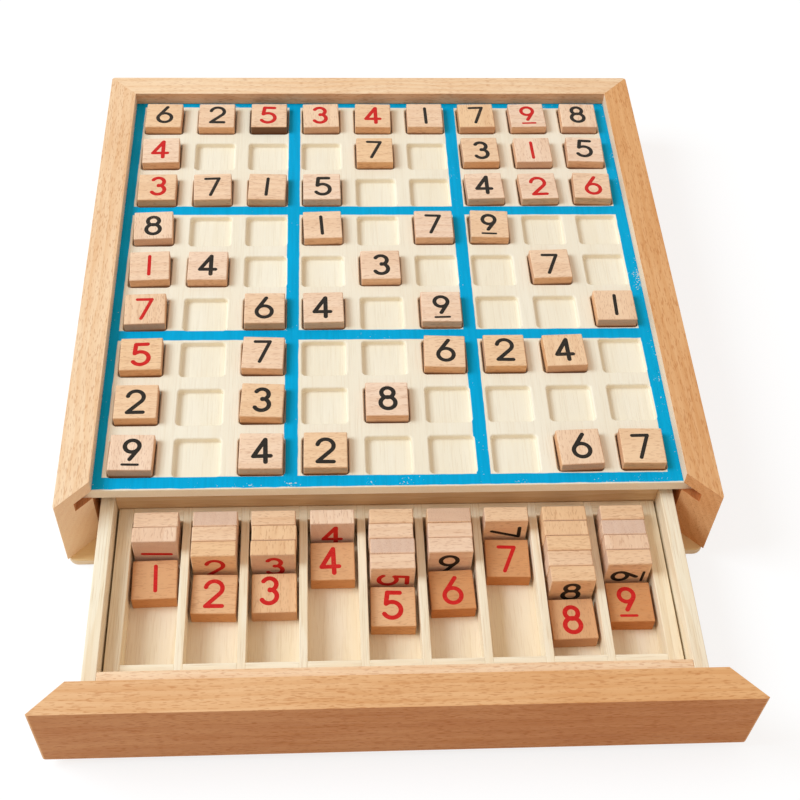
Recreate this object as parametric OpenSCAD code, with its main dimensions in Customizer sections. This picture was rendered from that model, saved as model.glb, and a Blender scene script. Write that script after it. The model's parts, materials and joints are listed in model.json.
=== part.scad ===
// Wooden number puzzle: a square case with a board of tile pockets on top and a shallow
// drawer of sorting lanes below. Millimetres, +Z up. The origin lies on the underside of
// the base panel, below the middle of the case. The drawer pulls out towards -Y.

/* [Tiles] */
// Width and depth of a number tile
tile_w = 16.2; // [14:0.1:19]
// Thickness of a number tile
tile_t = 6.3; // [5:0.1:8]
// Chamfer that eases the edges of a tile
tile_chamfer = 0.5; // [0.2:0.1:1]
// Space left between the tiles that stand on edge in a lane
stack_gap = 0.15; // [0.05:0.01:0.17]
// Space between a stack and the tile that lies in front of it
flat_gap = 1.5; // [0.8:0.1:4]

/* [Board] */
// Thickness of the board
board_t = 4.3; // [3.6:0.1:6]
// Depth of a tile pocket
pocket_depth = 2.6; // [1.5:0.1:3.2]
// Space on each side of a tile in its pocket
pocket_clear = 0.55; // [0.4:0.05:0.8]
// Corner radius of a pocket
pocket_r = 1.6; // [1:0.1:1.7]
// Width of the board left between two pockets
web_w = 6.4; // [5.6:0.1:9]
// Board between the outer pockets and a side rail
side_margin = 4.95; // [3:0.05:9]
// Board between the last row of pockets and the back rail
back_margin = 3.85; // [2:0.05:9]
// Board between the first row of pockets and the front edge
front_margin = 6.05; // [3:0.05:12]

/* [Case] */
// Width of a rail seen from above
rail_w = 11.6; // [8:0.1:18]
// Height of the rail tops above the face of the board
board_drop = 6; // [4:0.1:12]
// Depth of the groove that holds the board
groove_depth = 5.6; // [3:0.1:6.5]
// Space between the board's edge and the bottom of its groove
groove_end_gap = 0.3; // [0.1:0.05:1]
// Space above the board in its groove
groove_play = 0.2; // [0.05:0.05:0.6]
// Space between the board's front edge and the closed drawer front
board_front_gap = 0.2; // [0:0.05:1]
// Thickness of the base panel
base_t = 3.5; // [2.5:0.1:8]
// Corner radius of the base panel
base_corner_r = 4; // [1:0.5:8]
// Radius on the upright corners of the frame
case_corner_r = 1.5; // [0.5:0.1:3]

/* [Drawer] */
// How far the drawer stands out of the case
drawer_out = 78; // [10:1:80]
// Space beside the drawer on each side
drawer_side_gap = 2.4; // [0.5:0.1:4]
// Space between the drawer and the base panel that it runs on
run_gap = 0.2; // [0.1:0.05:0.5]
// Space between the drawer walls and the board above
over_gap = 3.3; // [1:0.1:8]
// Height of the drawer walls above a tile that stands on edge
wall_over_tile = 1; // [0.2:0.1:4]
// Thickness of the drawer's side and back walls
wall_t = 5; // [3:0.1:6]
// Thickness of the bar behind the drawer front
front_wall_t = 10.2; // [5:0.1:16]
// Thickness of the drawer bottom
bottom_t = 2.8; // [2:0.1:6]

/* [Tray] */
// Space beside the tray on each side
tray_gap = 0.75; // [0.3:0.05:1.5]
// Space in front of the tray and behind it
tray_end_gap = 0.2; // [0.1:0.05:0.6]
// Thickness of the tray's side walls
tray_side_t = 5.45; // [3:0.05:7]
// Thickness of the tray's front and back walls
tray_end_t = 5.9; // [3:0.1:10]
// Thickness of a divider
divider_t = 3; // [2:0.1:3.8]
// Depth of a lane
lane_depth = 9.7; // [5:0.1:13]
// Length of a lane beyond a full row of tiles on edge
lane_play = 1.6; // [1.6:0.1:6]

/* [Hidden] */
$fn = 48;
// Cutters run past the faces that they open by this much
overrun = 1;
// Share of the height over which dividers and tray ends are halved into each other
lap_share = 0.5;
// Shares of the free space that tiles use up by lying a little off centre
shift_share = 0.15;
// Share of the largest turn that a lane allows by which its loose tile is turned
loose_turn_share = 0.2;

// Rows and columns of the puzzle, and tiles in a full lane
cells = 9;
last = cells - 1;
// Numbers on the board, back row first, with 0 for an empty pocket
board_rows = [
    "625341798",
    "400070315",
    "371500426",
    "800107900",
    "140030070",
    "706409001",
    "507006240",
    "203080000",
    "904200067"
];
// Turn of each tile on the board, as a share of the largest turn that its pocket allows
board_turn_shares = [
    [-0.2, 0, 0, 0.4, -0.3, -0.1, 0.2, 0.4, -0.3],
    [0.5, 0, 0, 0, 0, 0, 0.3, 0.2, -0.6],
    [0.1, 0.5, -0.5, 0.1, 0, 0, 0.6, 0.5, -0.7],
    [0.7, 0, 0, 0.5, 0, 0, -0.6, 0, 0],
    [0.7, -0.1, 0, 0, 0.2, 0, 0, 0.5, 0],
    [0.5, 0, 0, 0.3, 0, -0.1, 0, 0, 0],
    [0.3, 0, -0.6, 0, 0, -0.6, 0, 0.5, 0],
    [0.1, 0, -0.7, 0, -0.1, 0, 0, 0, 0],
    [-0.3, 0, -0.2, -0.1, 0, 0, 0, 0.6, -0.3]
];
// Tiles that stand on edge in each lane, from the left
stack_counts = [2, 3, 3, 1, 4, 3, 1, 5, 4];

// Board and case outline
pocket_w = tile_w + 2 * pocket_clear;
pitch = pocket_w + web_w;
field_w = cells * pocket_w + last * web_w;
opening_x = field_w + 2 * side_margin;
opening_y = field_w + front_margin + back_margin;
case_x = opening_x + 2 * rail_w;
case_y = opening_y + 2 * rail_w;
hx = case_x / 2;
hy = case_y / 2;
ox = opening_x / 2;
oy = opening_y / 2;

// Heights, the drawer's own counted from its underside
wall_h = bottom_t + tile_w + wall_over_tile;
bay_h = run_gap + wall_h + over_gap;
rail_h = bay_h + board_t + board_drop;
board_z = base_t + bay_h;
board_top = board_z + board_t;
tray_top = bottom_t + lane_depth;
tongue = groove_depth - groove_end_gap;

// Drawer, in its closed place
box_x = ox - drawer_side_gap;
box_in_x = box_x - wall_t;
tray_x = box_in_x - tray_gap;
tray_in_x = tray_x - tray_side_t;
lane_w = (2 * tray_in_x - last * divider_t) / cells;
lane_len = cells * tile_t + lane_play;
front_wall_y = -oy + front_wall_t;
tray_y = front_wall_y + tray_end_gap;
lane_y = tray_y + tray_end_t;
lane_end_y = lane_y + lane_len;
tray_end_y = lane_end_y + tray_end_t;
back_wall_y = tray_end_y + tray_end_gap;
box_end_y = back_wall_y + wall_t;
lap_z = bottom_t + lap_share * lane_depth;

// How far a tile is turned and moved in its pocket or lane
board_turn = atan(2 * pocket_clear / tile_w);
board_shift = shift_share * pocket_clear;
lane_clear = (lane_w - tile_w) / 2;
lane_turn = loose_turn_share * atan(2 * lane_clear / tile_w);
lane_shift = shift_share * lane_clear;

// Colours
beech = [0.87, 0.66, 0.45];
pine = [0.96, 0.88, 0.72];
ply = [0.94, 0.86, 0.70];
tile_wood = [0.90, 0.76, 0.62];

names = ["one", "two", "three", "four", "five", "six", "seven", "eight", "nine"];
plurals = ["ones", "twos", "threes", "fours", "fives", "sixes", "sevens", "eights", "nines"];
case_nodes = ["left_rail", "right_rail", "back_rail", "base_panel", "play_board"];
drawer_nodes = [
    "drawer_front", "drawer_front_wall", "drawer_left_wall", "drawer_right_wall",
    "drawer_back_wall", "drawer_bottom"
];
tray_nodes = ["tray_left_wall", "tray_right_wall", "tray_front_wall", "tray_back_wall"];
divider_nodes = [for (i = [1 : last]) str("divider_", i)];
board_nodes = [for (p = plurals) str("board_", p)];
loose_nodes = [for (n = names) str("loose_", n)];
stack_nodes = [for (p = plurals) str("stack_", p)];

// Places that repeat: the middles of pockets and lanes, and an even spread from -1 to 1
function pocket_x(c) = (c - last / 2) * pitch;
function pocket_y(r) = -oy + front_margin + pocket_w / 2 + (last - r) * pitch;
function lane_x(i) = (i - last / 2) * (lane_w + divider_t);
function divider_x(i) = (i - last / 2 + 1 / 2) * (lane_w + divider_t);
function spread(a, b) = sin(97 * a + 211 * b + 40);
function stack_len(i) = stack_gap + stack_counts[i] * (tile_t + stack_gap);

module slab(lo, hi) {
    translate(lo)
        cube(hi - lo);
}

module rounded_rect(size, r) {
    square([size[0] - 2 * r, size[1]], center = true);
    square([size[0], size[1] - 2 * r], center = true);
    for (sx = [-1, 1])
        for (sy = [-1, 1])
            translate([sx * (size[0] / 2 - r), sy * (size[1] / 2 - r)])
                circle(r);
}

module case_plan() {
    rounded_rect([case_x, case_y], case_corner_r);
}

// Outline of one side of a tile, with its corners cut off
module cut_rect(w, h) {
    x = w / 2;
    y = h / 2;
    k = tile_chamfer;
    polygon([
        [x - k, -y], [x, k - y], [x, y - k], [x - k, y],
        [k - x, y], [-x, y - k], [-x, k - y], [k - x, -y]
    ]);
}

// A tile that lies on the XY plane with its middle on the Z axis
module tile() {
    translate([0, 0, tile_t / 2])
        intersection() {
            linear_extrude(tile_t, center = true)
                cut_rect(tile_w, tile_w);
            rotate([90, 0, 0])
                linear_extrude(tile_w, center = true)
                    cut_rect(tile_w, tile_t);
            rotate([90, 0, 90])
                linear_extrude(tile_w, center = true)
                    cut_rect(tile_w, tile_t);
        }
}

// A side rail, on the left for side -1 and on the right for side 1
module side_rail(side) {
    color(beech)
        difference() {
            translate([0, 0, base_t])
                linear_extrude(rail_h)
                    intersection() {
                        polygon([[side * hx, -hy], [side * hx, hy], [side * ox, oy], [side * ox, -oy]]);
                        case_plan();
                    }
            translate([side * ox, 0, board_z + (board_t + groove_play) / 2])
                cube([2 * groove_depth, case_y + 2 * overrun, board_t + groove_play], center = true);
        }
}

module back_rail() {
    color(beech)
        difference() {
            translate([0, 0, base_t])
                linear_extrude(rail_h)
                    intersection() {
                        polygon([[-hx, hy], [hx, hy], [ox, oy], [-ox, oy]]);
                        case_plan();
                    }
            translate([0, oy, board_z + (board_t + groove_play) / 2])
                cube([case_x + 2 * overrun, 2 * groove_depth, board_t + groove_play], center = true);
        }
}

module base_panel() {
    color(ply)
        linear_extrude(base_t)
            rounded_rect([case_x, case_y], base_corner_r);
}

module play_board() {
    color(ply)
        difference() {
            slab([-ox - tongue, -oy + board_front_gap, board_z], [ox + tongue, oy + tongue, board_top]);
            for (r = [0 : last])
                for (c = [0 : last])
                    translate([pocket_x(c), pocket_y(r), board_top - pocket_depth])
                        linear_extrude(pocket_depth + overrun)
                            rounded_rect([pocket_w, pocket_w], pocket_r);
        }
}

// Puts a piece that is drawn in the closed drawer where the open drawer holds it
module in_drawer() {
    translate([0, -drawer_out, base_t + run_gap])
        children();
}

module drawer_front() {
    color(beech)
        in_drawer()
            linear_extrude(rail_h - run_gap)
                intersection() {
                    polygon([[-hx, -hy], [hx, -hy], [ox, -oy], [-ox, -oy]]);
                    case_plan();
                }
}

module drawer_front_wall() {
    color(beech)
        in_drawer()
            slab([-box_in_x, -oy, 0], [box_in_x, front_wall_y, wall_h]);
}

// A side wall of the drawer, on the left for side -1 and on the right for side 1
module drawer_side_wall(side) {
    color(pine)
        in_drawer()
            translate([side * (box_x - wall_t / 2), (box_end_y - oy) / 2, wall_h / 2])
                cube([wall_t, box_end_y + oy, wall_h], center = true);
}

module drawer_back_wall() {
    color(pine)
        in_drawer()
            slab([-box_in_x, back_wall_y, 0], [box_in_x, box_end_y, wall_h]);
}

module drawer_bottom() {
    color(ply)
        in_drawer()
            slab([-box_in_x, front_wall_y, 0], [box_in_x, back_wall_y, bottom_t]);
}

// A side wall of the tray, on the left for side -1 and on the right for side 1
module tray_side_wall(side) {
    color(pine)
        in_drawer()
            translate([side * (tray_x - tray_side_t / 2), (tray_y + tray_end_y) / 2, bottom_t + lane_depth / 2])
                cube([tray_side_t, tray_end_y - tray_y, lane_depth], center = true);
}

// A front or back wall of the tray, notched from above for the dividers
module tray_end_wall(y0) {
    color(pine)
        in_drawer()
            difference() {
                slab([-tray_in_x, y0, bottom_t], [tray_in_x, y0 + tray_end_t, tray_top]);
                for (i = [0 : last - 1])
                    slab(
                        [divider_x(i) - divider_t / 2, y0 - overrun, lap_z],
                        [divider_x(i) + divider_t / 2, y0 + tray_end_t + overrun, tray_top + overrun]
                    );
            }
}

// A divider, cut away below at both ends to sit in the notches of the tray's end walls
module divider(i) {
    color(pine)
        in_drawer()
            translate([divider_x(i) - divider_t / 2, 0, 0])
                rotate([90, 0, 90])
                    linear_extrude(divider_t)
                        polygon([
                            [lane_y, bottom_t],
                            [lane_end_y, bottom_t],
                            [lane_end_y, lap_z],
                            [tray_end_y, lap_z],
                            [tray_end_y, tray_top],
                            [tray_y, tray_top],
                            [tray_y, lap_z],
                            [lane_y, lap_z]
                        ]);
}

// The tiles of one number that lie in pockets of the board
module board_tiles(number) {
    color(tile_wood)
        for (r = [0 : last])
            for (c = [0 : last])
                if (board_rows[r][c] == str(number))
                    translate([
                        pocket_x(c) + board_shift * spread(c, r + last),
                        pocket_y(r) + board_shift * spread(r + last, c),
                        board_top - pocket_depth
                    ])
                        rotate([0, 0, board_turn * board_turn_shares[r][c]])
                            tile();
}

// The tile that lies flat in a lane, in front of its stack
module loose_tile(i) {
    color(tile_wood)
        in_drawer()
            translate([
                lane_x(i) + lane_shift * spread(i, last),
                lane_end_y - stack_len(i) - flat_gap - tile_w / 2,
                bottom_t
            ])
                rotate([0, 0, lane_turn * spread(last, i)])
                    tile();
}

// The tiles that stand on edge at the back of a lane
module stack_tiles(i) {
    color(tile_wood)
        in_drawer()
            for (k = [0 : stack_counts[i] - 1])
                translate([
                    lane_x(i) + lane_shift * spread(i, k),
                    lane_end_y - stack_gap - k * (tile_t + stack_gap),
                    bottom_t + tile_w / 2
                ])
                    rotate([90, 0, 0])
                        tile();
}

side_rail(-1);  // left_rail
side_rail(1);  // right_rail
back_rail();
base_panel();
play_board();
drawer_front();
drawer_front_wall();
drawer_side_wall(-1);  // drawer_left_wall
drawer_side_wall(1);  // drawer_right_wall
drawer_back_wall();
drawer_bottom();
tray_side_wall(-1);  // tray_left_wall
tray_side_wall(1);  // tray_right_wall
tray_end_wall(tray_y);  // tray_front_wall
tray_end_wall(lane_end_y);  // tray_back_wall
for (i = [0 : last - 1])
    divider(i);
for (i = [0 : last])
    board_tiles(i + 1);
for (i = [0 : last])
    loose_tile(i);
for (i = [0 : last])
    stack_tiles(i);
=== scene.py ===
"""Wooden sudoku board with a drawer of number tiles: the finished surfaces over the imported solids."""

import json

import bpy
import numpy as np
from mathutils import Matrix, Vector


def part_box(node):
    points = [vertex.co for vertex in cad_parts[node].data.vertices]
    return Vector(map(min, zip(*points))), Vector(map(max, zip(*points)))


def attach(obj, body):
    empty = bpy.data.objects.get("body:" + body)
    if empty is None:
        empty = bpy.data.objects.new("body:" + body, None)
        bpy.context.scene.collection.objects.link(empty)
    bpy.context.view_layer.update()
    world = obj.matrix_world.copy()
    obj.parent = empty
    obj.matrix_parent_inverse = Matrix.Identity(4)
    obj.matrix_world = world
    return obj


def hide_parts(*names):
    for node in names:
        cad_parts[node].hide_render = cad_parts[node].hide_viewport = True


bl_info = {
    "name": "Wooden Sudoku Board",
    "version": (1, 0, 0),
    "blender": (4, 5, 0),
    "location": "3D View > Sidebar > Sudoku",
    "description": "Builds the case, drawer, tiles and numerals of a wooden sudoku board",
    "category": "Object",
}

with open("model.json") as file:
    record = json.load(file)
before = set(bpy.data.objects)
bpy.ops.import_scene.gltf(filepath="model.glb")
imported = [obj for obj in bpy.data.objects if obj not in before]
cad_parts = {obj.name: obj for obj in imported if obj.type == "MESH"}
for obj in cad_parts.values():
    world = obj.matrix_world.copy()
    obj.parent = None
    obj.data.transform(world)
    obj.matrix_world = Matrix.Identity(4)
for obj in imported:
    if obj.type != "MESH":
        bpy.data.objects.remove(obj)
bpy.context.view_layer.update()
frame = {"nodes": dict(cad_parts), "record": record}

MM = 0.001
# Points closer than this lie in one place
TINY = 1e-7
# How far the board's front edge stands behind the line that its pockets are measured from
BOARD_SETBACK = 0.2 * MM
BODY_OF = {n: body for body, nodes in frame["record"]["behaviour"]["bodies"].items() for n in nodes}
NUMBERS = ("one", "two", "three", "four", "five", "six", "seven", "eight", "nine")
PLURALS = ("ones", "twos", "threes", "fours", "fives", "sixes", "sevens", "eights", "nines")
# Ink on the board's tiles, back row first: b black, r red, a dot for an empty pocket
INKS = "br"
INK_ROWS = (
    "bbrrrbbrb", "r...b.brb", "rbbb..brr", "b..b.bb..", "rb..b..b.",
    "r.bb.b..b", "r.b..bbb.", "b.b.b....", "b.bb...bb",
)
# Ink and turn in degrees of the numeral on the front of each stack in the drawer
STACK_INK = "rrrrrbbbb"
STACK_TURNS = (90, 0, 0, 0, -90, 180, -90, 0, 90)
# Shift in millimetres of the numerals that stand off the middle of their loose tile
LOOSE_SHIFTS = {3: (-2.0, 0.8), 4: (-0.8, 0.0), 9: (-0.8, 0.3)}
# Tint of the loose tiles, one to nine
LOOSE_TINTS = (0.84, 0.7, 0.62, 0.82, 0.7, 1.0, 0.96, 0.82, 1.0)


def display(red, green, blue):
    """A colour as it shows on a display, from 0 to 255, turned into the linear values of a shader."""
    c = np.array((red, green, blue)) / 255
    linear = np.where(c <= 0.04045, c / 12.92, ((c + 0.055) / 1.055) ** 2.4)
    return tuple(float(x) for x in linear)


def length(name, description, default):
    """A length as a property, from its default in millimetres."""
    return bpy.props.FloatProperty(
        name=name, description=description, default=default * MM, min=0, precision=5, unit="LENGTH"
    )


def colour(name, description, *default):
    """A colour as a property, from its default as it shows on a display."""
    return bpy.props.FloatVectorProperty(
        name=name, description=description, default=display(*default), min=0, max=1, subtype="COLOR"
    )


class SudokuSizes(bpy.types.PropertyGroup):
    """Sizes of the finish, over the sizes that the solids already hold."""

    plank_ease: length("Plank edge", "Radius of the eased edges of walls and dividers", 0.35)
    rail_ease: length("Rail edge", "Width of the eased edges of the frame", 0.3)
    tile_ease: length("Tile edge", "Radius of the eased edges of a tile", 0.5)
    corner: length("Frame corner", "Radius on the upright corners of the frame", 1.5)
    base_corner: length("Base corner", "Corner radius of the base panel", 4)
    base_ease: length("Base edge", "Width of the eased edges of the base panel", 0.5)
    groove_depth: length("Groove depth", "Depth of the groove that holds the board", 5.6)
    groove_play: length("Groove play", "Space above the board in its groove", 0.2)
    pitch: length("Pocket pitch", "Distance between the middles of two pockets", 23.7)
    pocket: length("Pocket width", "Width of a pocket at its floor", 17.3)
    pocket_corner: length("Pocket corner", "Corner radius of a pocket", 1.6)
    pocket_depth: length("Pocket depth", "Depth of a pocket", 2.6)
    front_margin: length("Front margin", "Board in front of the first row of pockets", 6.05)
    rim: length("Pocket rim", "Radius of the rounded rim of a pocket", 0.7)
    fillet: length("Pocket fillet", "Radius between the walls and the floor of a pocket", 0.5)
    block: length("Block", "Width of one of the nine blocks that the print leaves bare", 66)
    line: length("Line", "Width of the printed lines between the blocks", 5.21)
    stroke: length("Stroke", "Width of the strokes of a numeral", 1.64)
    numeral: length("Numeral", "Height of a numeral between the middles of its strokes", 10.2)
    ink: length("Ink", "Height of the ink over the wood", 0.05)


class SudokuColours(bpy.types.PropertyGroup):
    """Colours of the woods, the print and the inks."""

    beech_light: colour("Beech, light", "Pale bands of the frame's beech", 254, 225, 188)
    beech_dark: colour("Beech, dark", "Late wood of the frame's beech", 230, 167, 101)
    beech_fleck: colour("Beech flecks", "Short flecks in the beech", 190, 116, 58)
    # Pale sawn beech, which also paints light onto the right rail's inner face
    beech_sawn_and_painted_light: colour("Beech, sawn", "Raw sawn faces of the frame", 255, 226, 194)
    pine_light: colour("Pine, light", "Pale bands of the walls", 254, 243, 218)
    pine_dark: colour("Pine, dark", "Late wood of the walls", 238, 210, 165)
    pine_fleck: colour("Pine flecks", "Marks in the walls", 205, 165, 115)
    ply_light: colour("Plywood, light", "Face of the panels", 249, 231, 205)
    ply_dark: colour("Plywood, dark", "Grain of the panels", 238, 215, 176)
    ply_core: colour("Plywood core", "Deeper layer of the panels", 238, 203, 143)
    board_light: colour("Board, light", "Bare face of the board", 250, 241, 220)
    board_dark: colour("Board, dark", "Grain of the bare board", 241, 225, 194)
    tile_pink: colour("Tile, pink", "Tiles of pinkish beech", 251, 221, 194)
    tile_tan: colour("Tile, tan", "Tiles of tan beech", 247, 207, 162)
    tile_deep: colour("Tile, deep", "Tiles of the deepest beech", 214, 150, 97)
    tile_end: colour("Tile, end grain", "End grain of the tiles", 212, 182, 168)
    tile_dark: colour("Tile, dark", "Late wood of the tiles", 214, 158, 110)
    tile_fleck: colour("Tile flecks", "Short flecks in the tiles", 172, 106, 66)
    # Also painted shade: it darkens the tiles' front faces, which turn away from the lamp
    tile_side_and_shade: colour("Tile side", "Sawn sides of the tiles", 237, 215, 191)
    print_blue: colour("Print", "Printed lines and border of the board", 0, 172, 222)
    ink_black: colour("Black ink", "Black numerals", 36, 30, 22)
    ink_red: colour("Red ink", "Red numerals", 202, 32, 28)
    floor: colour("Floor", "Floor under the board", 222, 208, 190)


def sizes():
    """The sizes that hang on the scene."""
    return bpy.context.scene.sudoku_sizes


def colours():
    """The colours that hang on the scene."""
    return bpy.context.scene.sudoku_colours


# Node helpers


def sign(operation, swapped=False):
    """A sign of arithmetic between two values, which adds its node."""
    return lambda self, other: self.nodes.calc(operation, *((other, self) if swapped else (self, other)))


class Value:
    """An output of a node. Its signs add a step of arithmetic, and a name gives another output of the node."""

    __add__, __sub__, __mul__, __truediv__ = map(sign, ("ADD", "SUBTRACT", "MULTIPLY", "DIVIDE"))
    __rsub__, __rtruediv__ = sign("SUBTRACT", True), sign("DIVIDE", True)

    def __init__(self, nodes, socket):
        self.nodes, self.socket = nodes, socket

    def __getitem__(self, name):
        return Value(self.nodes, self.socket.node.outputs[name])


class Nodes:
    """A node tree with short ways to add its nodes."""

    def __init__(self, tree):
        self.tree = tree

    def feed(self, socket, value):
        """Links a socket, or sets it to a plain value; a plain colour gets full alpha."""
        if isinstance(value, Value):
            self.tree.links.new(value.socket, socket)
        elif socket.type == "RGBA":
            socket.default_value = (*value, 1)[:4]
        else:
            socket.default_value = value

    def add(self, kind, inputs=(), output=0, **settings):
        """Adds a shader node with its settings and its inputs, listed in order or named; gives an output."""
        node = self.tree.nodes.new("ShaderNode" + kind)
        for title, value in settings.items():
            setattr(node, title, value)
        for key, value in inputs.items() if isinstance(inputs, dict) else enumerate(inputs):
            self.feed(node.inputs[key], value)
        return Value(self, node.outputs[output])

    def end(self, kind, shader):
        """Adds the output of a material or a world."""
        self.feed(self.tree.nodes.new("ShaderNodeOutput" + kind).inputs[0], shader)

    def calc(self, operation, *values):
        """One step of arithmetic."""
        return self.add("Math", values, operation=operation)

    def stretch(self, vector, factors):
        """A vector with each part multiplied by its factor."""
        return self.add("VectorMath", (vector, factors), operation="MULTIPLY")

    def parts(self, vector):
        """The three parts of a vector."""
        whole = self.add("SeparateXYZ", (vector,))
        return [whole[name] for name in "XYZ"]

    def between(self, value, low, high, to_low=0.0, to_high=1.0):
        """Value taken from the range low to high into the range to_low to to_high, and held inside it."""
        return self.add("MapRange", (value, low, high, to_low, to_high), interpolation_type="SMOOTHSTEP")

    def noise(self, vector, factors, detail=2.0, roughness=0.5):
        """Noise at a stretched vector: the smaller a factor, the longer the shapes along that part."""
        drawn = self.stretch(vector, factors)
        return self.add("TexNoise", {"Vector": drawn, "Scale": 1.0, "Detail": detail, "Roughness": roughness})

    def mix(self, factor, first, second, mode="MIX"):
        """Two colours mixed by a factor that is held between 0 and 1."""
        inputs = {0: factor, 6: first, 7: second}
        return self.add("Mix", inputs, 2, data_type="RGBA", blend_type=mode, clamp_factor=True)

    def field(self, name, output="Fac"):
        """An attribute of the piece's own mesh."""
        return self.add("Attribute", output=output, attribute_name=name)

    def place(self):
        """Object coordinates in millimetres."""
        return self.stretch(self.add("TexCoord", output="Object"), (1 / MM, 1 / MM, 1 / MM))


def new_group(name, inputs, outputs):
    """An empty node group: its nodes, its inputs by name and the sockets that it puts out.

    An input is a name, a kind of socket and, for a number, its default.
    """
    tree = bpy.data.node_groups.new(name, "ShaderNodeTree")
    for title, kind, *default in inputs:
        socket = tree.interface.new_socket(title, in_out="INPUT", socket_type="NodeSocket" + kind)
        if default:
            socket.default_value = default[0]
    for title, kind in outputs:
        tree.interface.new_socket(title, in_out="OUTPUT", socket_type="NodeSocket" + kind)
    nodes = Nodes(tree)
    given = Value(nodes, tree.nodes.new("NodeGroupInput").outputs[0])
    return nodes, given, tree.nodes.new("NodeGroupOutput").inputs


def solid_wood():
    """Wood through and through, from a grain vector in millimetres whose first part runs along the fibres.

    Growth rings are bands of the distance from the pith, bent by slow noise. Fibres, flecks and
    pores are noise drawn out along the first part, and a slow noise mottles the whole.
    """
    name = "Solid wood"
    if name in bpy.data.node_groups:
        return bpy.data.node_groups[name]
    n, given, put = new_group(
        name,
        (
            ("Grain", "Vector"), ("Light", "Color"), ("Dark", "Color"), ("Fleck", "Color"),
            ("Ring spacing", "Float", 3.0), ("Rings", "Float", 0.5), ("Fleck length", "Float", 2.5),
            ("Flecks", "Float", 0.6), ("Fibres", "Float", 0.4), ("Mottle", "Float", 0.4),
        ),
        (("Color", "Color"), ("Roughness", "Float"), ("Height", "Float")),
    )
    grain = given["Grain"]
    _, across, deep = n.parts(grain)
    # Rings: each darkens slowly towards its late wood and ends sharply
    away = n.calc("SQRT", across * across + deep * deep)
    bend_mm = 9.0
    bend = n.noise(grain, (0.014, 0.05, 0.05)) * bend_mm
    turn = n.calc("FRACT", (away + bend) / given["Ring spacing"])
    late = n.between(turn, 0.15, 0.88) * n.between(turn, 1.0, 0.9)
    # Fibres, mottle and flecks, which lie closer together in some patches
    fibre = n.noise(grain, (0.035, 1.9, 1.9), 4.0, 0.6)
    mottle = n.noise(grain, (0.02, 0.06, 0.06))
    fleck_across = 2.6
    drawn = n.add("CombineXYZ", (1.0 / given["Fleck length"], fleck_across, fleck_across))
    dashes = n.noise(grain, drawn, 1.0, 0.4)
    patch = n.noise(grain, (0.07, 0.18, 0.18), 1.0)
    limit = 0.65 - patch * 0.16
    fleck = n.between(dashes, limit, limit + 0.1)
    tone = late * given["Rings"]
    for part, share in ((fibre, given["Fibres"]), (mottle, given["Mottle"])):
        # Noise lies mostly between 0.3 and 0.7, so it is spread before its share is taken
        tone = tone + (part - 0.42) * 2.4 * share
    body = n.mix(tone, given["Light"], given["Dark"])
    n.feed(put["Color"], n.mix(fleck * given["Flecks"], body, given["Fleck"]))
    n.feed(put["Roughness"], n.between(fibre + fleck * 0.3, 0.2, 1.0, 0.46, 0.7))
    n.feed(put["Height"], fibre - fleck * 0.8)
    return n.tree


def paint_specks():
    """A mask of the small places where paint or ink has missed the wood or worn off it.

    Fine noise over a limit gives the specks, and coarse noise gathers them.
    """
    name = "Paint specks"
    if name in bpy.data.node_groups:
        return bpy.data.node_groups[name]
    inputs = (("Place", "Vector"), ("Size", "Float", 0.3), ("Limit", "Float", 0.66))
    n, given, put = new_group(name, inputs, (("Mask", "Float"),))
    fine = n.noise(given["Place"], 1.0 / given["Size"])
    coarse = n.noise(given["Place"], (0.11, 0.11, 0.11), 1.0)
    total = fine + (coarse - 0.5) * 0.5
    n.feed(put["Mask"], n.between(total, given["Limit"], given["Limit"] + 0.07))
    return n.tree


# Materials


def bare_nodes(block):
    """The emptied node tree of a material or a world."""
    block.use_nodes = True
    block.node_tree.nodes.clear()
    return Nodes(block.node_tree)


def new_material(name):
    """An empty material and its nodes."""
    material = bpy.data.materials.new(name)
    return material, bare_nodes(material)


def dressed(material, n, body, roughness, height, depth=0.04 * MM, shine=0.16):
    """A material with its shader: a colour, a roughness and a normal from a height and how deep that goes."""
    bump = n.add("Bump", {"Strength": 1.0, "Distance": depth, "Height": height})
    inputs = {"Base Color": body, "Roughness": roughness, "Normal": bump, "Specular IOR Level": shine}
    n.end("Material", n.add("BsdfPrincipled", inputs))
    return material


def place_wood(n, light, dark, fleck, **shares):
    """The solid wood group in a material, on the piece's own grain attribute."""
    inputs = {"Grain": n.field("grain", "Vector"), "Light": light, "Dark": dark, "Fleck": fleck}
    inputs.update((title.replace("_", " ").capitalize(), value) for title, value in shares.items())
    return n.add("Group", inputs, node_tree=solid_wood())


def place_specks(n, place, size, limit):
    """The mask of the paint specks in a material."""
    return n.add("Group", {"Place": place, "Size": size, "Limit": limit}, node_tree=paint_specks())


def deeper(value, share):
    """A colour brought down to a share of its light."""
    return [share * x for x in value]


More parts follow.
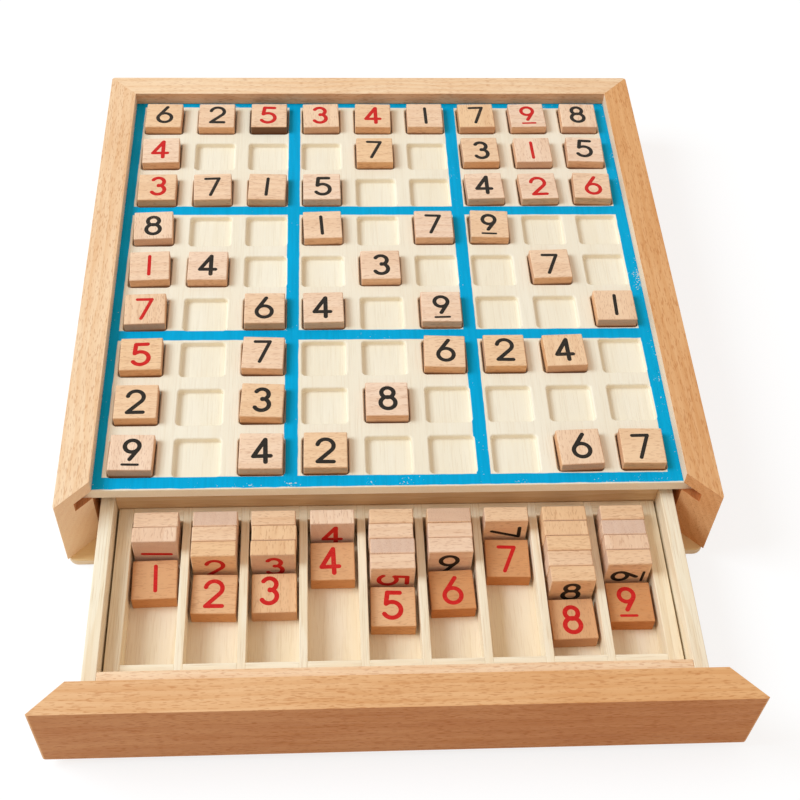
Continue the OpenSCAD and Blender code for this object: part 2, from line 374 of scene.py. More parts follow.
def plank_material(name, light, dark, fleck, **shares):
    """Sanded wood whose tint attribute shifts each piece between its pale and its dark wood.

    Dark wood shows more of its flecks and less of its rings. A face attribute turns a face to paler raw sawn
    wood at 1, partly painted light on the right rail's inner face, and towards -1 it paints shade into the
    colour as a darker, warmer copy of the wood.
    """
    if name in bpy.data.materials:
        return bpy.data.materials[name]
    material, n = new_material(name)
    tint, cut = n.field("tint"), n.field("cut")
    for title, change in (("flecks", 0.4), ("rings", -0.25)):
        shares[title] = (tint * change + 1.0) * shares[title]
    early = n.mix(tint * 0.8, light, dark)
    late = n.mix(tint, n.mix(0.6, light, dark), n.mix(0.5, dark, fleck))
    wood = place_wood(n, early, late, fleck, **shares)
    worn = n.mix(n.field("edge") * 0.25, wood["Color"], light)
    # Paler raw sawn wood; on the right rail's inner face it is partly painted light
    sawn = n.mix(n.between(cut, 0.0, 1.0, 0.0, 0.9), worn, colours().beech_sawn_and_painted_light)
    # Painted shade: a darker, warmer copy of the wood, mixed in as the face attribute falls below 0
    shaded = n.stretch(sawn, (0.68, 0.44, 0.3))
    body = n.mix(n.between(cut, 0.0, -1.0), sawn, shaded)
    return dressed(material, n, body, wood["Roughness"], wood["Height"])


def beech_material():
    """Beech of the frame, with short flecks."""
    c = colours()
    return plank_material("frame beech", c.beech_light, c.beech_dark, c.beech_fleck, ring_spacing=2.8,
                          rings=0.35, fleck_length=2.9, flecks=0.34, fibres=0.36, mottle=0.5)


def pine_material():
    """Pine of the walls, with wide rings and long faint marks."""
    c = colours()
    return plank_material("wall pine", c.pine_light, c.pine_dark, c.pine_fleck, ring_spacing=4.5,
                          rings=0.5, fleck_length=14.0, flecks=0.25, fibres=0.45, mottle=0.35)


def ply_material():
    """Plywood: pale faces, and a core that shows as a darker layer along the edges."""
    name = "panel plywood"
    if name in bpy.data.materials:
        return bpy.data.materials[name]
    c = colours()
    material, n = new_material(name)
    wood = place_wood(n, c.ply_light, c.ply_dark, c.pine_fleck, ring_spacing=9.0, rings=0.3,
                      fleck_length=9.0, flecks=0.15, fibres=0.35, mottle=0.4)
    body = n.mix(n.between(n.field("core"), 0.4, 0.6, 0.0, 0.8), wood["Color"], c.ply_core)
    return dressed(material, n, body, wood["Roughness"], wood["Height"], 0.03 * MM)


def board_material():
    """The board's pale wood with its print: blue wherever a point lies outside the nine blocks.

    The distance past the nearest block's edge is the larger of its two parts, less half a block.
    Noise makes the edge of the print a little uneven, and specks leave small bare places, more of
    them along the front edge and the right one. The print lies a little off the board's middle.
    """
    name = "board face"
    if name in bpy.data.materials:
        return bpy.data.materials[name]
    c, s = colours(), sizes()
    material, n = new_material(name)
    wood = place_wood(n, c.board_light, c.board_dark, c.pine_fleck, ring_spacing=11.0, rings=0.15,
                      fleck_length=16.0, flecks=0.08, fibres=0.28, mottle=0.3)
    place = n.place()
    print_off, print_turn = (0.57, -1.34, 0), (0, 0, np.radians(0.24))
    turned = n.add("Mapping", {"Location": print_off, "Rotation": print_turn, "Vector": place})
    period = (s.block + s.line) / MM
    past = []
    for part in n.parts(turned)[:2]:
        step = n.calc("MAXIMUM", n.calc("MINIMUM", n.calc("ROUND", part / period), 1.0), -1.0)
        past.append(n.calc("ABSOLUTE", part - step * period))
    wave = n.noise(place, (0.16, 0.16, 0), 3.0) - 0.5
    past = n.calc("MAXIMUM", *past) - s.block / MM / 2 + wave * 0.5
    x, y, z = n.parts(place)
    low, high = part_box("play_board")
    bare_front = 0.55
    front = y - (low.y / MM + bare_front) + wave * 0.9
    on_top = n.between(z, high.z / MM - 0.3, high.z / MM - 0.12)
    worn = n.calc("MAXIMUM", n.between(front, 4.5, 0.5), n.between(x, 104.5, 108.0))
    specks = place_specks(n, place, 0.7, worn * -0.095 + 0.79)
    printed = n.between(past, -0.1, 0.1) * n.between(front, -0.12, 0.12) * on_top * (1.0 - specks * 0.75)
    tone = n.between(n.noise(place, (0.9, 0.05, 0.9), 3.0), 0.3, 0.75, 0.0, 0.35)
    blue = n.mix(tone, c.print_blue, deeper(c.print_blue, 0.7))
    return dressed(material, n, n.mix(printed, wood["Color"], blue), n.between(printed, 0.0, 1.0, 0.6, 0.42),
                   wood["Height"] + printed * 0.7, shine=0.06)


def tile_material():
    """Beech of the tiles: the tint attribute runs from pinkish over tan to deep.

    The ends attribute shows end grain. Side darkens the sides, partly as sawn wood and partly as painted shade
    on the fronts that turn from the lamp, and at 1 turns them to burnt ones; low paints shade at the foot of a
    side, down in the gap of its pocket.
    """
    name = "tile beech"
    if name in bpy.data.materials:
        return bpy.data.materials[name]
    c = colours()
    material, n = new_material(name)
    tint, side = n.field("tint") * 2.0, n.field("side")
    light = n.mix(tint - 1.0, n.mix(tint, c.tile_pink, c.tile_tan), c.tile_deep)
    wood = place_wood(n, light, n.mix(0.5, light, c.tile_dark), c.tile_fleck, ring_spacing=3.6,
                      rings=0.32, fleck_length=2.2, flecks=0.3, fibres=0.36, mottle=0.4)
    face = n.mix(n.field("ends") * 0.5, wood["Color"], c.tile_end)
    # Sides darker, partly as sawn wood and partly as painted shade on the fronts
    body = n.mix(n.between(side, 0.0, 0.5), face, n.mix(1.0, face, c.tile_side_and_shade, "MULTIPLY"))
    body = n.mix(n.between(side, 0.6, 1.0, 0.0, 0.9), body, deeper(c.tile_fleck, 0.25))
    # Painted shade at the foot of a board tile's sides, down in the gap of its pocket
    body = n.mix(n.between(n.field("low"), 0.52, 0.72, 0.0, 0.7), body, deeper(c.tile_fleck, 0.45))
    body = n.mix(n.field("edge") * 0.12, body, light)
    return dressed(material, n, body, wood["Roughness"], wood["Height"])


def ink_material(name, ink):
    """Printed ink, a little uneven, with specks of the wood between."""
    if name in bpy.data.materials:
        return bpy.data.materials[name]
    material, n = new_material(name)
    place = n.place()
    thin = n.noise(place, (0.6, 1.2, 1.2), 3.0)
    pale = [min(1.0, 1.25 * x + 0.014) for x in ink]
    body = n.mix(n.between(thin, 0.35, 0.75, 0.0, 0.6), ink, pale)
    body = n.mix(place_specks(n, place, 0.3, 0.72) * 0.4, body, colours().tile_dark)
    return dressed(material, n, body, n.between(thin, 0.2, 0.8, 0.4, 0.58), thin, 0.03 * MM)


# The slot and the material of each wood
WOODS = {
    "beech": ("frame_beech", beech_material),
    "pine": ("wall_pine", pine_material),
    "ply": ("panel_ply", ply_material),
}


# Mesh helpers


def chance(*keys):
    """An even number from 0 to 1 that depends only on its keys."""
    value = np.sin(np.dot(keys, (12.9898, 78.233, 37.719)[:len(keys)]) + 1.7) * 43758.5453
    return float(value - np.floor(value))


def box_of(node):
    """Low and high corner of a CAD node as arrays."""
    low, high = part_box(node)
    return np.array(low), np.array(high)


def grain_of(points, axis, seed, slope):
    """Grain vectors in millimetres: the points along, across and deep in the wood, set off from the pith.

    The fibres run along the axis X, Y or Z. The pith lies 35 to 90 mm away; a slope of 0 puts it straight
    below the piece, 1 to its side.
    """
    order = ([0, 1, 2], [1, 0, 2], [2, 0, 1])[axis]
    along, away, angle = 900 * chance(seed, 1), 35 + 55 * chance(seed, 2), slope * np.pi / 2
    return points[:, order] / MM + (along, away * np.sin(angle), away * np.cos(angle))


def wood_fields(points, axis, seed, slope, tint, edge=0.0):
    """The attributes of a piece of wood: its grain, its tint and how far each point lies on an eased edge."""
    return {
        "grain": grain_of(points, axis, seed, slope),
        "tint": np.broadcast_to(tint, len(points)),
        "edge": np.broadcast_to(edge, len(points)),
    }


def piece(name, points, faces, materials, node, slot=None, stands_for=True, normals=None, flat=(), fields=None,
          inks=None, cut=None):
    """Puts worked-out points and faces into a mesh that rides on the body of its CAD node.

    Normals are given for each point; the faces listed in flat keep their own.
    """
    mesh = bpy.data.meshes.new(name)
    mesh.from_pydata(points.tolist(), [], faces if isinstance(faces, list) else faces.tolist())
    for title, values in (fields or {}).items():
        values = np.asarray(values, np.float32)
        vector = values.ndim == 2
        layer = mesh.attributes.new(title, "FLOAT_VECTOR" if vector else "FLOAT", "POINT")
        layer.data.foreach_set("vector" if vector else "value", values.ravel())
    if cut is not None:
        mesh.attributes.new("cut", "FLOAT", "FACE").data.foreach_set("value", np.asarray(cut, np.float32))
    for material in materials:
        mesh.materials.append(material)
    if inks is not None:
        mesh.polygons.foreach_set("material_index", np.asarray(inks, np.int32))
    mesh.shade_smooth()
    mesh.update()
    if normals is not None:
        corner = np.empty(len(mesh.loops), np.int32)
        mesh.loops.foreach_get("vertex_index", corner)
        at_corner = np.asarray(normals)[corner]
        for index in flat:
            face = mesh.polygons[index]
            at_corner[face.loop_start:face.loop_start + face.loop_total] = face.normal
        mesh.normals_split_custom_set(at_corner.tolist())
    if mesh.validate():
        raise RuntimeError(f"the mesh of {name} had faults")
    made = bpy.data.objects.new(name, mesh)
    bpy.context.scene.collection.objects.link(made)
    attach(made, BODY_OF[node])
    if stands_for:
        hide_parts(node)
    return made


def wooden(node, wood, points, faces, axis, seed, slope, tint, edge=0.0, core=None, name=None, **more):
    """A piece of beech, pine or plywood in the place of its CAD node."""
    slot, material = WOODS[wood]
    fields = wood_fields(points, axis, seed, slope, tint, edge)
    if core is not None:
        fields["core"] = core
    return piece(name or f"{node}_{wood}", points, faces, [material()], node, slot, fields=fields, **more)


def ease(made, width):
    """Eases the sharp edges of a piece and keeps its flats flat."""
    bevel = made.modifiers.new("eased edges", "BEVEL")
    bevel.width = width
    bevel.segments = 3
    bevel.limit_method = "ANGLE"
    bevel.angle_limit = np.radians(40)
    bevel.harden_normals = True


def merged(points, normals):
    """Joins points that lie in one place, so that seams close; also gives the new index of each old point."""
    spots = np.round(points / TINY).astype(np.int64)
    _, first, back = np.unique(spots, axis=0, return_index=True, return_inverse=True)
    return points[first], normals[first], back.reshape(-1)


def bands(rows):
    """Quads between each row of points and the next, round rows that close."""
    a, b = rows[..., :-1, :], rows[..., 1:, :]
    return np.stack((a, np.roll(a, -1, -1), np.roll(b, -1, -1), b), -1).reshape(-1, 4)


def rounded_block(half, radius):
    """A block with rounded edges about the origin: points, quads and normals.

    Six grids of directions cover a cube. A point is its direction's octant of the shrunken
    block, moved by the radius along the direction, and doubled stations at 0 make the flats.
    """
    t = np.tan(np.pi / 8)
    stations = np.array((-1, -t, 0, 0, t, 1))
    signs = np.array((-1, -1, -1, 1, 1, 1))
    u, v = np.meshgrid(stations, stations, indexing="ij")
    su, sv = np.meshgrid(signs, signs, indexing="ij")
    points, normals, quads, count = [], [], [], len(stations)
    grid = np.arange(count * count).reshape(count, count)
    quad = np.stack((grid[:-1, :-1], grid[1:, :-1], grid[1:, 1:], grid[:-1, 1:]), -1).reshape(-1, 4)
    for axis in range(3):
        for side in (-1, 1):
            direction, octant = (
                np.roll(np.stack((*flat, np.full(u.shape, float(side))), -1), axis + 1, -1)
                for flat in ((u, v), (su, sv))
            )
            direction /= np.linalg.norm(direction, axis=-1, keepdims=True)
            quads.append((quad if side > 0 else quad[:, ::-1]) + len(points) * count * count)
            points.append((octant * (np.asarray(half) - radius) + radius * direction).reshape(-1, 3))
            normals.append(direction.reshape(-1, 3))
    points, normals, back = merged(np.concatenate(points), np.concatenate(normals))
    return points, back[np.concatenate(quads)], normals


def edge_share(normals):
    """0 on the flats of a block and 1 on its rounded edges."""
    return np.clip((1 - np.abs(normals).max(1)) / 0.29, 0, 1)


def plank(node, wood, axis, seed, slope, tint, cut=0, name=None):
    """A straight piece of wood in the place of its CAD node, with eased edges.

    The core of plywood is 1 through the middle half of its thickness and falls to 0 at its faces.
    """
    low, high = box_of(node)
    points, quads, normals = rounded_block((high - low) / 2, sizes().plank_ease)
    points = points + (low + high) / 2
    core = None
    if wood == "ply":
        core = np.clip(2 - 4 * np.abs((points[:, 2] - low[2]) / (high[2] - low[2]) - 0.5), 0, 1)
    return wooden(node, wood, points, quads, axis, seed, slope, tint, edge_share(normals), core, name,
                  normals=normals, cut=np.full(len(quads), cut))


def cell_solid(us, vs, filled, low, high, order):
    """Cells on a grid of two directions, carried along a third from the low to the high end surface.

    Each filled cell gives its two ends, and a wall where its neighbour is left out, so that left out
    cells make grooves and notches. order names the axis of each direction, right-handed.
    """
    u, v = np.meshgrid(us, vs, indexing="ij")
    points = np.empty((2, *u.shape, 3))
    points[..., order[0]], points[..., order[1]] = u, v
    points[0, ..., order[2]], points[1, ..., order[2]] = low, high
    index = np.arange(2 * u.size).reshape(2, *u.shape)
    a, b, c, d = index[:, :-1, :-1], index[:, 1:, :-1], index[:, 1:, 1:], index[:, :-1, 1:]
    room = np.pad(filled, 1)
    walls = (
        (filled, (a[1], b[1], c[1], d[1])),
        (filled, (a[0], d[0], c[0], b[0])),
        (filled & ~room[:-2, 1:-1], (a[0], a[1], d[1], d[0])),
        (filled & ~room[2:, 1:-1], (b[0], c[0], c[1], b[1])),
        (filled & ~room[1:-1, :-2], (a[0], b[0], b[1], a[1])),
        (filled & ~room[1:-1, 2:], (d[0], d[1], c[1], c[0])),
    )
    quads = np.concatenate([np.stack(corners, -1)[mask] for mask, corners in walls])
    used, back = np.unique(quads, return_inverse=True)
    return points.reshape(-1, 3)[used], back.reshape(quads.shape)


def rail_cuts(points, quads, heights, axis, side, grooved, cuts):
    """The sawn paleness and painted shade of each face of a rail, by whether it looks inwards, is a mitre or looks
    outwards, and -1, painted shade, in and under a groove.
    """
    near = 1e-6
    shape = points[quads]
    normal = np.cross(shape[:, 2] - shape[:, 0], shape[:, 3] - shape[:, 1])
    normal /= np.linalg.norm(normal, axis=1, keepdims=True)
    outwards, along = side * normal[:, 1 - axis], np.abs(normal[:, axis])
    height = shape[..., 2].mean(1)
    mitre = np.abs(along - np.sqrt(0.5)) < 0.01
    cut = np.select((outwards < -0.99, mitre, outwards > 0.99), cuts)
    if grooved:
        under = (height < heights[2] + near) & (np.abs(height - heights[0]) > near)
        # Painted shade in and under the groove
        cut[(outwards < 0.5) & (along < 0.5) & under] = -1
    return cut


def mitred_rail(node, axis, side, seed, slope, tint, grooved=True, cuts=(0, 0, 0)):
    """A rail: its section carried along its length between two mitred ends.

    An end lies as far out as its point lies off the middle, and follows a quarter circle at the tip.
    The tint runs from one end to the other. The last argument gives the faces that look inwards, the mitres
    and the faces that look outwards paler sawn wood above 0 and painted shade below 0.
    """
    s = sizes()
    across = 1 - axis
    low, high = box_of(node)
    inner, outer = sorted(np.abs((low[across], high[across])))
    middle = 0.0
    if node == "drawer_front":
        outer = -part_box("left_rail")[0].x
        inner, middle = outer - (high[across] - low[across]), low[across] + outer
    bend = np.radians((0, 11.25, 22.5, 33.75, 45))
    tip = outer - s.corner * (1 - np.cos(bend))
    off = np.concatenate(((inner, inner + s.groove_depth), tip[::-1]))
    ends = np.concatenate((off[:2], (outer - s.corner + s.corner * np.sin(bend))[::-1]))
    if side < 0:
        off, ends = -off[::-1], ends[::-1]
    board_low, board_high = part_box("play_board")
    heights = np.array((low[2], board_low.z, board_high.z + s.groove_play, high[2]))
    filled = np.ones((3, len(off) - 1), bool)
    if grooved:
        filled[1, 0 if side > 0 else -1] = False
    if axis == 1:
        end = np.broadcast_to(ends, (len(heights), len(off)))
        points, quads = cell_solid(heights, off, filled, -end, end, (2, 0, 1))
    else:
        end = np.broadcast_to(ends[:, None], (len(off), len(heights)))
        points, quads = cell_solid(off + middle, heights, filled.T, -end, end, (1, 2, 0))
    tints = np.interp(points[:, axis], (-outer, outer), tint)
    made = wooden(node, "beech", points, quads, axis, seed, slope, tints,
                  cut=rail_cuts(points, quads, heights, axis, side, grooved, cuts))
    ease(made, s.rail_ease)


def corner_angles(steps):
    """Angles of the points round four rounded corners, from the right side anticlockwise."""
    return np.radians(np.linspace(0, 90, steps + 1)[None] + np.arange(0, 360, 90)[:, None])


def rounded_outline(half_x, half_y, radius, steps):
    """Points round a rectangle with rounded corners, from the right side anticlockwise."""
    angle = corner_angles(steps)
    sign_x, sign_y = np.array((1, -1, -1, 1))[:, None], np.array((1, 1, -1, -1))[:, None]
    x = sign_x * (half_x - radius) + radius * np.cos(angle)
    y = sign_y * (half_y - radius) + radius * np.sin(angle)
    return np.stack((x, y), -1).reshape(-1, 2)


class MakeRails(bpy.types.Operator):
    """Makes the three rails of the frame, with mitred ends and the board's groove"""

    bl_idname = "sudoku.make_rails"
    bl_label = "Rails"

    def execute(self, context):
        # Above 0 paler sawn faces, partly painted light on the right rail's inner face; below 0 painted shade
        mitred_rail("left_rail", 1, -1, 11, 0.55, (0.05, 0.4), cuts=(0.65, 0.62, 0))
        mitred_rail("right_rail", 1, 1, 12, 0.3, (0.9, 1.05), cuts=(1, -0.25, 0))
        mitred_rail("back_rail", 0, 1, 13, 0.2, (0.05, 0.2), cuts=(-0.5, 0, 0))
        return {"FINISHED"}


class MakeBase(bpy.types.Operator):
    """Makes the base panel, a rounded outline carried up through its thickness"""

    bl_idname = "sudoku.make_base"
    bl_label = "Base panel"

    def execute(self, context):
        s = sizes()
        low, high = box_of("base_panel")
        half = (high - low) / 2
        outline = rounded_outline(half[0], half[1], s.base_corner, 8)
        count, core = len(outline), (0, 0, 0, 0.2, 1)
        levels = np.linspace(low[2], high[2], len(core))
        points = np.concatenate([np.column_stack((outline, np.full(count, z))) for z in levels])
        rows = np.arange(len(points)).reshape(-1, count)
        faces = bands(rows).tolist() + [rows[0, ::-1].tolist(), rows[-1].tolist()]
        ease(wooden("base_panel", "ply", points, faces, 0, 21, 0.1, 0.3, core=np.repeat(core, count)), s.base_ease)
        return {"FINISHED"}


def row_middles(count):
    """Middles of the rows of pockets in Y, from the front one backwards."""
    s = sizes()
    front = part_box("play_board")[0].y - BOARD_SETBACK
    return front + s.front_margin + s.pocket / 2 + np.arange(count) * s.pitch


class MakeBoard(bpy.types.Operator):
    """Makes the playing board with its 81 pockets

    Each cell is a row of loops: the cell's own rectangle, the rounded rim, the wall and the
    fillet at the floor. The rim and the fillet are quarter circles swept round the pocket.
    """

    bl_idname = "sudoku.make_board"
    bl_label = "Playing board"

    cells = 9
    # Steps round a pocket's corner
    steps = 6
    # Width of the board's eased edge, and its levels down to the underside: the shares of that width that
    # each lies out and down, and how far its normal leans
    inset = 0.4 * MM
    edge = (
        (0.29, 0.12, 0.35), (0.71, 0.29, 0.8), (0.88, 0.6, 1.2), (1.0, 1.0, np.pi / 2), (1.0, 1.0, np.pi / 2),
    )

    def execute(self, context):
        low, high = box_of("play_board")
        cx = (np.arange(self.cells) - self.cells // 2) * sizes().pitch
        cy = row_middles(self.cells)[::-1]
        row, column = np.divmod(np.arange(self.cells ** 2), self.cells)
        centre = np.stack((cx[column], cy[row]), -1)
        pocket, tilt = self.pocket_loops(centre, high[2])
        loops = np.concatenate((self.cell_loop(centre, cx, cy, row, column, low, high)[:, None], pocket), 1)
        tilt = np.concatenate((np.broadcast_to((0, 0, 1), loops[:, :1].shape), tilt), 1)
        index = np.arange(loops[..., 0].size).reshape(loops.shape[:3])
        points, normals, back = merged(loops.reshape(-1, 3), tilt.reshape(-1, 3))
        faces = back[bands(index)].tolist() + back[index[:, -1]].tolist()
        border = self.border(points, low, high)
        faces, points, normals = self.close(faces, points, normals, border, low, high)
        piece("play_board_printed", points, faces, [board_material()], "play_board", "board_face",
              normals=normals, flat=[len(faces) - 1], fields=wood_fields(points, 1, 31, 0.05, 0.3))
        return {"FINISHED"}

    def pocket_loops(self, centre, top):
        """Loops round every pocket from its rim down to its floor, and their normals."""
        s = sizes()
        rim, fillet = np.radians((0, 22.5, 45, 67.5, 90)), np.radians((0, 30, 60, 90))
        floor = top - s.pocket_depth
        offsets = np.concatenate((s.rim * (1 - np.sin(rim)), -s.fillet * (1 - np.cos(fillet))))
        depths = np.concatenate((top - s.rim * (1 - np.cos(rim)), floor + s.fillet * (1 - np.sin(fillet))))
        lean = np.concatenate((rim, np.pi / 2 - fillet))
        unit = rounded_outline(s.pocket / 2, s.pocket / 2, s.pocket_corner, self.steps)
        angle = corner_angles(self.steps).ravel()
        outward = np.stack((np.cos(angle), np.sin(angle)), -1)
        loops = np.empty((len(centre), len(offsets), len(unit), 3))
        loops[..., :2] = centre[:, None, None] + (unit + offsets[:, None, None] * outward)
        loops[..., 2] = depths[:, None]
        tilt = np.empty_like(loops)
        tilt[..., :2] = -outward * np.sin(lean)[:, None, None]
        tilt[..., 2] = np.cos(lean)[:, None]
        return loops, tilt

    def cell_loop(self, centre, cx, cy, row, column, low, high):
        """A loop round every cell, half way to its neighbours, with as many points as its pocket's loops.

        Round a corner the first part stays on its side for half the points, and the second then on the next.
        """
        s = sizes()
        x_lines = np.concatenate(((low[0] + self.inset,), cx[:-1] + s.pitch / 2, (high[0] - self.inset,)))
        y_lines = np.concatenate(((high[1] - self.inset,), cy[:-1] - s.pitch / 2, (low[1] + self.inset,)))
        left, right = x_lines[column] - centre[:, 0], x_lines[column + 1] - centre[:, 0]
        back, front = y_lines[row] - centre[:, 1], y_lines[row + 1] - centre[:, 1]
        reach, ones = np.linspace(0, 1, self.steps // 2 + 1), np.ones(self.steps // 2)
        first, second = np.concatenate((ones, 1 - reach)), np.concatenate((reach, ones))
        straight = s.pocket / 2 - s.pocket_corner
        outer = np.empty((len(centre), 4, self.steps + 1, 2))
        for k, outs in enumerate(((right, back), (back, left), (left, front), (front, right))):
            for out, share, axis in zip(outs, (first, second), (k % 2, 1 - k % 2)):
                start = straight * np.sign(out)
                outer[:, k, :, axis] = start[:, None] + (out - start)[:, None] * share
        outer = outer.reshape(len(centre), -1, 2) + centre[:, None]
        return np.concatenate((outer, np.full((*outer.shape[:2], 1), high[2])), -1)

    def border(self, points, low, high):
        """Points on the outline of the top, in order round the board, anticlockwise from above."""
        on_top = np.abs(points[:, 2] - high[2]) < TINY
        x, y = points[:, 0], points[:, 1]
        (left, front), (right, back) = low[:2] + self.inset, high[:2] - self.inset
        sides = []
        for values, line, along in ((y, front, x), (x, right, y), (y, back, -x), (x, left, -y)):
            found = np.flatnonzero(on_top & (np.abs(values - line) < TINY))
            sides.append(found[np.argsort(along[found])][:-1])
        return np.concatenate(sides)

    def close(self, faces, points, normals, border, low, high):
        """Carries the outline round an eased edge and down to the flat underside."""
        outline = points[border]
        half = (high - low) / 2 - self.inset
        out = (outline - (low + high) / 2)[:, :2]
        side = np.where(np.abs(np.abs(out) - half[:2]) < TINY, np.sign(out), 0)
        facing = np.column_stack((side / np.linalg.norm(side, axis=1, keepdims=True), np.zeros(len(out))))
        reach, drop, lean = np.array(self.edge).T[..., None]
        levels = np.repeat(outline[None], len(self.edge), 0)
        levels[..., :2] += side * self.inset * reach[..., None]
        levels[..., 2] -= self.inset * drop
        levels[-1, :, 2] = low[2]
        tilts = facing * np.sin(lean)[..., None]
        tilts[..., 2] += np.cos(lean)
        rows = np.vstack((border, len(points) + np.arange(levels[..., 0].size).reshape(levels.shape[:2])))
        faces = faces + bands(rows[::-1]).tolist() + [rows[-1, ::-1].tolist()]
        points = np.concatenate((points, levels.reshape(-1, 3)))
        return faces, points, np.concatenate((normals, tilts.reshape(-1, 3)))


class MakeDrawer(bpy.types.Operator):
    """Makes the drawer box: its moulded front, the bar behind it, three walls and the bottom"""

    bl_idname = "sudoku.make_drawer"
    bl_label = "Drawer box"

    def execute(self, context):
        # Painted shade on the moulding's front face, which turns away from the lamp
        mitred_rail("drawer_front", 0, -1, 41, 0.08, (0.75, 1.0), grooved=False, cuts=(0, 0, -0.58))
        plank("drawer_front_wall", "beech", 0, 42, 0.5, 0.02, name="drawer_bar_beech")
        plank("drawer_left_wall", "pine", 1, 43, 0.6, 0.1)
        plank("drawer_right_wall", "pine", 1, 44, 0.5, 0.05)
        # Painted shade on the back wall, which stands in the shadow of the board
        plank("drawer_back_wall", "pine", 0, 45, 0.4, 1.0, cut=-0.4)
        plank("drawer_bottom", "ply", 1, 46, 0.1, 0.3)
        return {"FINISHED"}


class MakeTray(bpy.types.Operator):
    """Makes the tray: two side walls, two notched end walls and the dividers halved into them"""

    bl_idname = "sudoku.make_tray"
    bl_label = "Tray and dividers"

    def execute(self, context):
        s = sizes()
        plank("tray_left_wall", "pine", 1, 51, 0.5, 0.25)
        plank("tray_right_wall", "pine", 1, 52, 0.6, 0.3)
        dividers = [f"divider_{k}" for k in range(1, 9)]
        notches = np.array([[corner.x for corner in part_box(node)] for node in dividers]).ravel()
        front_low, front_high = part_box("tray_front_wall")
        back_low, back_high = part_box("tray_back_wall")
        lap = (front_low.z + front_high.z) / 2
        for k, node in enumerate(("tray_front_wall", "tray_back_wall")):
            low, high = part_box(node)
            xs = np.concatenate(((low.x,), notches, (high.x,)))
            filled = np.ones((2, len(xs) - 1), bool)
            filled[1, 1::2] = False
            points, quads = cell_solid((low.z, lap, high.z), xs, filled, low.y, high.y, (2, 0, 1))
            ease(wooden(node, "pine", points, quads, 0, 53 + k, 0.4, 0.35 * k), 0.5 * s.plank_ease)
        ys = (front_low.y, front_high.y, back_low.y, back_high.y)
        filled = np.array(((False, True), (True, True), (False, True)))
        for k, node in enumerate(dividers):
            low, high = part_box(node)
            points, quads = cell_solid(ys, (low.z, lap, high.z), filled, low.x, high.x, (1, 2, 0))
            slope, tint = 0.3 + 0.6 * chance(k, 3), 0.12 * chance(k, 4)
            ease(wooden(node, "pine", points, quads, 1, 60 + k, slope, tint), 0.6 * s.plank_ease)
        return {"FINISHED"}


def tile_places(node):
    """Middles, half sizes and turns of the tiles in a CAD node, from the islands of its mesh.

    Triangles that share a place share a label. An island's middle is that of its bounds, and its turn
    about Z is that of its largest upright face, taken to within 45 degrees.
    """
    mesh = frame["nodes"][node].data
    points = np.empty(len(mesh.vertices) * 3, np.float32)
    mesh.vertices.foreach_get("co", points)
    points = points.reshape(-1, 3).astype(float)
    mesh.calc_loop_triangles()
    corners = np.empty(len(mesh.loop_triangles) * 3, np.int32)
    mesh.loop_triangles.foreach_get("vertices", corners)
    _, back = np.unique(np.round(points / 2e-6).astype(np.int64), axis=0, return_inverse=True)
    triangles = back.reshape(-1)[corners].reshape(-1, 3)
    label = np.arange(triangles.max() + 1)
    before = None
    while before is None or (label != before).any():
        before = label.copy()
        np.minimum.at(label, triangles.ravel(), np.repeat(label[triangles].min(1), 3))
    owner = label[triangles[:, 0]]
    shape = points[corners].reshape(-1, 3, 3)
    normal = np.cross(shape[:, 1] - shape[:, 0], shape[:, 2] - shape[:, 0]) / 2
    area = np.linalg.norm(normal, axis=1)
    tiles = []
    for island in np.unique(owner):
        mine = owner == island
        spots = shape[mine].reshape(-1, 3)
        low, high = spots.min(0), spots.max(0)
        upright = np.flatnonzero(mine & (np.abs(normal[:, 2]) < 0.05 * area))
        face = normal[upright[np.argmax(area[upright])]]
        turn = (np.arctan2(face[1], face[0]) + np.pi / 4) % (np.pi / 2) - np.pi / 4
        tiles.append(((low + high) / 2, (high - low) / 2, turn))
    return sorted(tiles, key=lambda tile: (-round(tile[0][1] / MM), tile[0][0]))


def tile_size():
    """Half width and half thickness of a tile, from the first stack of tiles on edge."""
    _, half, _ = tile_places("stack_ones")[0]
    return half[0], half[1]


def spin(angle):
    """The matrix that turns rows of points about Z."""
    cos, sin = np.cos(angle), np.sin(angle)
    return np.array(((cos, sin, 0), (-sin, cos, 0), (0, 0, 1)))


